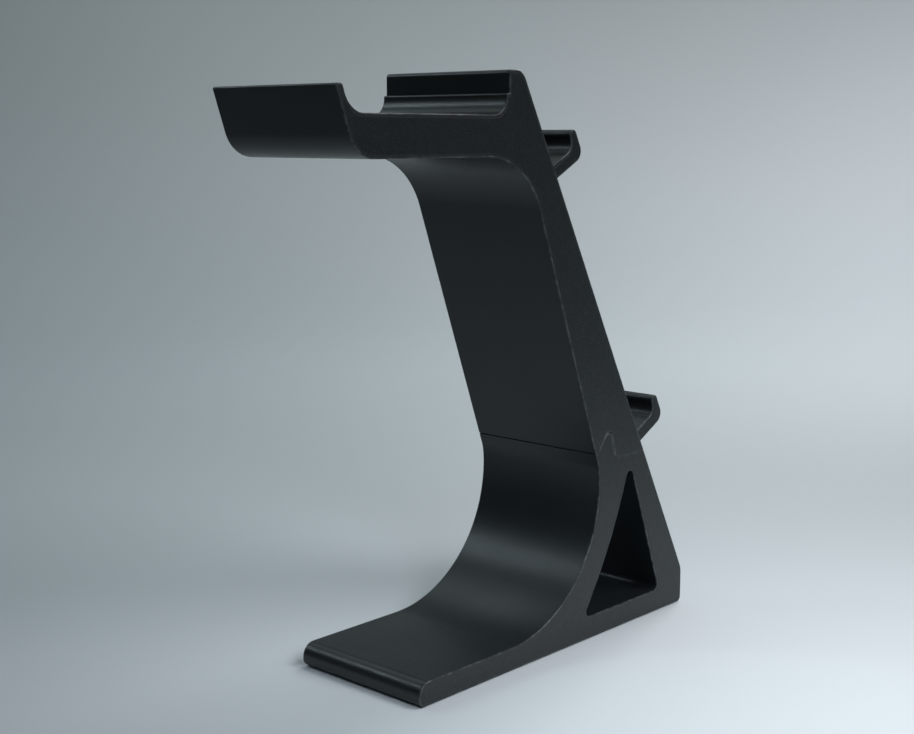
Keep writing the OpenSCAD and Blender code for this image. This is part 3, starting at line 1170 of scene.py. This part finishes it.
@dataclass
class Pads:
    """The rubber pads in the underside, ribbed where they meet the table."""

    corner: float = 2.0
    corner_steps: int = 6
    rib: float = 0.4
    rib_sides: int = 16
    rib_pitch: float = 1.3
    bare: float = 1.0

    def tree(self) -> bpy.types.NodeTree:
        """Build the tree that lays ribs along the underside of a pad.

        Returns:
            The tree. Its sizes are in metres.
        """
        sizes = {"Count": "Int", "Rib Radius": "Float", "Rib Length": "Float", "Start": "Vector", "Step": "Vector"}
        tree, given = start_tree("pad_ribs", sizes)
        line = add_node(
            tree,
            "GeometryNodeMeshLine",
            {"Count": given["Count"], "Start Location": given["Start"], "Offset": given["Step"]},
            mode="OFFSET",
        )
        rib = add_node(
            tree,
            "GeometryNodeMeshCylinder",
            {"Vertices": self.rib_sides, "Radius": given["Rib Radius"], "Depth": given["Rib Length"]},
        )
        spread = add_node(
            tree,
            "GeometryNodeInstanceOnPoints",
            {"Points": line, "Instance": rib, "Rotation": Euler((0, math.pi / 2, 0))},
        )
        parts = add_node(tree, "GeometryNodeJoinGeometry", {0: given["Geometry"]})
        set_inputs(tree, parts, {0: spread})
        return end_tree(tree, parts, given["Material"])

    def build(self, node: str, material: bpy.types.Material) -> bpy.types.Object:
        """Build one pad where its node is.

        Args:
            node: Name of the pad's node.
            material: Finish of the pad.

        Returns:
            The pad.
        """
        low, high = (Vector(corner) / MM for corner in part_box(node))
        made = box(f"{node}_ribbed", (low.x, low.y, low.z + self.rib), high)
        work = bmesh.new()
        work.from_mesh(made.data)
        upright = [e for e in work.edges if e.verts[0].co.z != e.verts[1].co.z]
        bmesh.ops.bevel(
            work, geom=upright, offset=self.corner * MM, segments=self.corner_steps, affect="EDGES", profile=0.5
        )
        work.to_mesh(made.data)
        work.free()
        count = int((high.y - low.y - self.bare) / self.rib_pitch)
        first = (low.y + high.y - (count - 1) * self.rib_pitch) / 2
        sizes = {
            "Count": count,
            "Rib Radius": self.rib * MM,
            "Rib Length": (high.x - low.x - 2 * self.corner) * MM,
            "Start": Vector(((low.x + high.x) / 2, first, low.z + self.rib)) * MM,
            "Step": Vector((0, self.rib_pitch, 0)) * MM,
            "Material": material,
        }
        return smooth(grow(made, self.tree(), sizes), FINE_CREASE)


@dataclass(frozen=True)
class SoftLight:
    """A soft light: place, aim and size in metres, power in watts, colour, and spread in degrees."""

    name: str
    spot: Point3
    aim: Point3
    size: Point
    power: float
    colour: str
    spread: float = 180.0

    def hang(self) -> bpy.types.Object:
        """Hang the light.

        Returns:
            The light's object, which lights the scene but is never seen in it.
        """
        lamp = bpy.data.lights.new(self.name, "AREA")
        lamp.shape, lamp.size, lamp.size_y = "RECTANGLE", *self.size
        lamp.energy, lamp.color = self.power, linear(self.colour)[:3]
        lamp.spread = math.radians(self.spread)
        hung = bpy.data.objects.new(self.name, lamp)
        bpy.context.scene.collection.objects.link(hung)
        hung.location = self.spot
        hung.rotation_euler = (Vector(self.aim) - Vector(self.spot)).to_track_quat("-Z", "Y").to_euler()
        hung.visible_camera = False
        return hung


@dataclass
class Studio:
    """Seamless paper all round, soft light from the right, and the camera."""

    floor: float = 900.0
    bend: float = 2200.0
    wall: float = 3400.0
    rings: tuple[float, ...] = (0.1, 0.25, 0.5, 0.75, 1.0)
    bend_steps: int = 28
    sides: int = 96
    surround: str = "#dfeef0"
    surround_strength: float = 0.06
    camera_spot: Point3 = (0.3966, -0.4437, 0.2179)
    camera_tilt: Point3 = (80.76, 0.0, 42.52)
    lens: float = 56.6
    sensor: float = 36.0
    nearest: float = 0.01
    # Key, foot and edge light the stand. The others light the paper, the last two where it is seen from behind.
    lights: tuple[SoftLight, ...] = (
        SoftLight("key", (0.34, 0.12, 0.4), (0.17, 0.03, 0.0), (0.26, 0.26), 0.88, "#fdfbfb", 110.0),
        SoftLight("foot", (0.45, -0.2, 0.3), (0.1, -0.05, 0.0), (0.15, 0.15), 0.18, "#f8f9ff", 60.0),
        SoftLight("edge", (-0.95, -0.5, 0.85), (0.0, 0.0, 0.1), (0.14, 0.3), 0.15, "#e4f7ff", 50.0),
        SoftLight("behind", (-0.1, 0.6, 0.7), (-0.12, 0.55, 0.0), (0.3, 0.3), 0.45, "#fffdfa", 100.0),
        SoftLight("background", (-0.15, 1.0, 0.9), (-0.2, 1.0, 0.0), (0.5, 0.5), 8.7, "#fdfefd"),
        SoftLight("wall", (-0.4, 1.6, 1.0), (-0.8, 2.2, 0.15), (0.6, 0.6), 4.4, "#fdf5f5"),
        SoftLight("far_wall", (-1.1, 1.0, 1.3), (-2.0, 1.6, 0.5), (0.8, 0.8), 4.9, "#f6fdf8"),
        SoftLight("left", (-1.2, 0.2, 1.2), (-0.8, 0.2, 0.0), (0.8, 0.8), 1.1, "#def2f8", 130.0),
        SoftLight("floor", (-0.5, 0.3, 0.9), (-0.55, 0.3, 0.0), (0.5, 0.5), 0.5, "#e8f6f2", 110.0),
        SoftLight("front_wall", (0.7, -0.95, 1.2), (1.15, -2.0, 0.15), (0.8, 0.8), 9.5, "#f8fafa"),
        SoftLight("right_wall", (1.3, 0.1, 1.2), (2.5, 0.2, 0.5), (0.8, 0.8), 4.0, "#f8fafa"),
    )

    def build_paper(self) -> bpy.types.Object:
        """Build the floor that curves up into a wall all round.

        Returns:
            The paper.
        """
        profile: list[Point] = [(self.floor * share, 0.0) for share in self.rings]
        for i in range(1, self.bend_steps + 1):
            a = math.pi / 2 * i / self.bend_steps
            profile.append((self.floor + self.bend * math.sin(a), self.bend * (1 - math.cos(a))))
        profile.append((self.floor + self.bend, self.wall))
        made = turned("paper", profile, Matrix.Identity(4), self.sides)
        work = bmesh.new()
        work.from_mesh(made.data)
        work.faces.ensure_lookup_table()
        bmesh.ops.delete(work, geom=[work.faces[-1]], context="FACES_ONLY")
        for face in work.faces:
            face.smooth = True
            face.normal_flip()
        work.to_mesh(made.data)
        work.free()
        made.data.materials.append(StudioPaper().build())
        return made

    def build_lights(self) -> None:
        """Hang the lights and set the surrounding light."""
        for light in self.lights:
            light.hang()
        world = bpy.data.worlds.new("studio")
        world.use_nodes = True
        sky: Inputs = {"Color": linear(self.surround), "Strength": self.surround_strength}
        set_inputs(world.node_tree, world.node_tree.nodes["Background"], sky)
        bpy.context.scene.world = world
        bpy.context.scene.view_settings.view_transform = "Standard"

    def build_camera(self) -> None:
        """Set up the camera."""
        lens = bpy.data.cameras.new("camera")
        lens.lens, lens.sensor_width, lens.clip_start = self.lens, self.sensor, self.nearest
        made = bpy.data.objects.new("camera", lens)
        bpy.context.scene.collection.objects.link(made)
        made.location = self.camera_spot
        made.rotation_euler = [math.radians(a) for a in self.camera_tilt]
        bpy.context.scene.camera = made


def place_piece(made: bpy.types.Object, node: str) -> None:
    """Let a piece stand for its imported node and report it.

    Args:
        made: The finished piece.
        node: Name of the node that it replaces.
    """
    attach(made, BODY)
    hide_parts(node)
    log.info("%s stands for %s: %d faces", made.name, node, len(made.data.polygons))


def main() -> None:
    """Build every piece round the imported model, then the studio."""
    logging.basicConfig(level=logging.INFO, format="%(name)s: %(message)s")
    for spare in list(bpy.data.objects):
        bpy.data.objects.remove(spare)
    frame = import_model()

    printed = PrintedPla().build()
    # Black oxide leaves steel dark grey, with a soft and slightly patchy sheen
    steel = MottledMetal("black_oxide_steel", "#3a3b3d", "#232425", roughness=0.38, mottle=0.6).build()
    # Brass from the lathe is warm yellow and brighter, with browner patches where it has been handled
    brass = MottledMetal("turned_brass", "#b8955a", "#8f6f3d", roughness=0.34, mottle=0.8).build()
    rubber = MattRubber().build()

    upper = Rest("upper_rest", z=199.0, rows=(-20.5,), high=3.0)
    lower = Rest("lower_rest", z=78.0, rows=(-20.5, 16.0), high=23.0)
    pads = ("nose_pad", "heel_pad")
    for made, node in zip(Body((upper, lower), pads).build(frame, printed), ("foot", "column")):
        place_piece(made, node)
    for rest in (upper, lower):
        place_piece(rest.build(frame, printed), rest.name)
        screws = rest.fasteners.build_screws(f"{rest.name}_socket_screws", rest.spots(), steel)
        place_piece(screws, f"{rest.name}_screws")
        inserts = rest.fasteners.build_inserts(f"{rest.name}_knurled_inserts", rest.spots(), brass)
        place_piece(inserts, f"{rest.name}_inserts")
    for pad in pads:
        place_piece(Pads().build(pad, rubber), pad)

    studio = Studio()
    studio.build_paper()
    studio.build_lights()
    studio.build_camera()


if __name__ == "__main__":
    main()
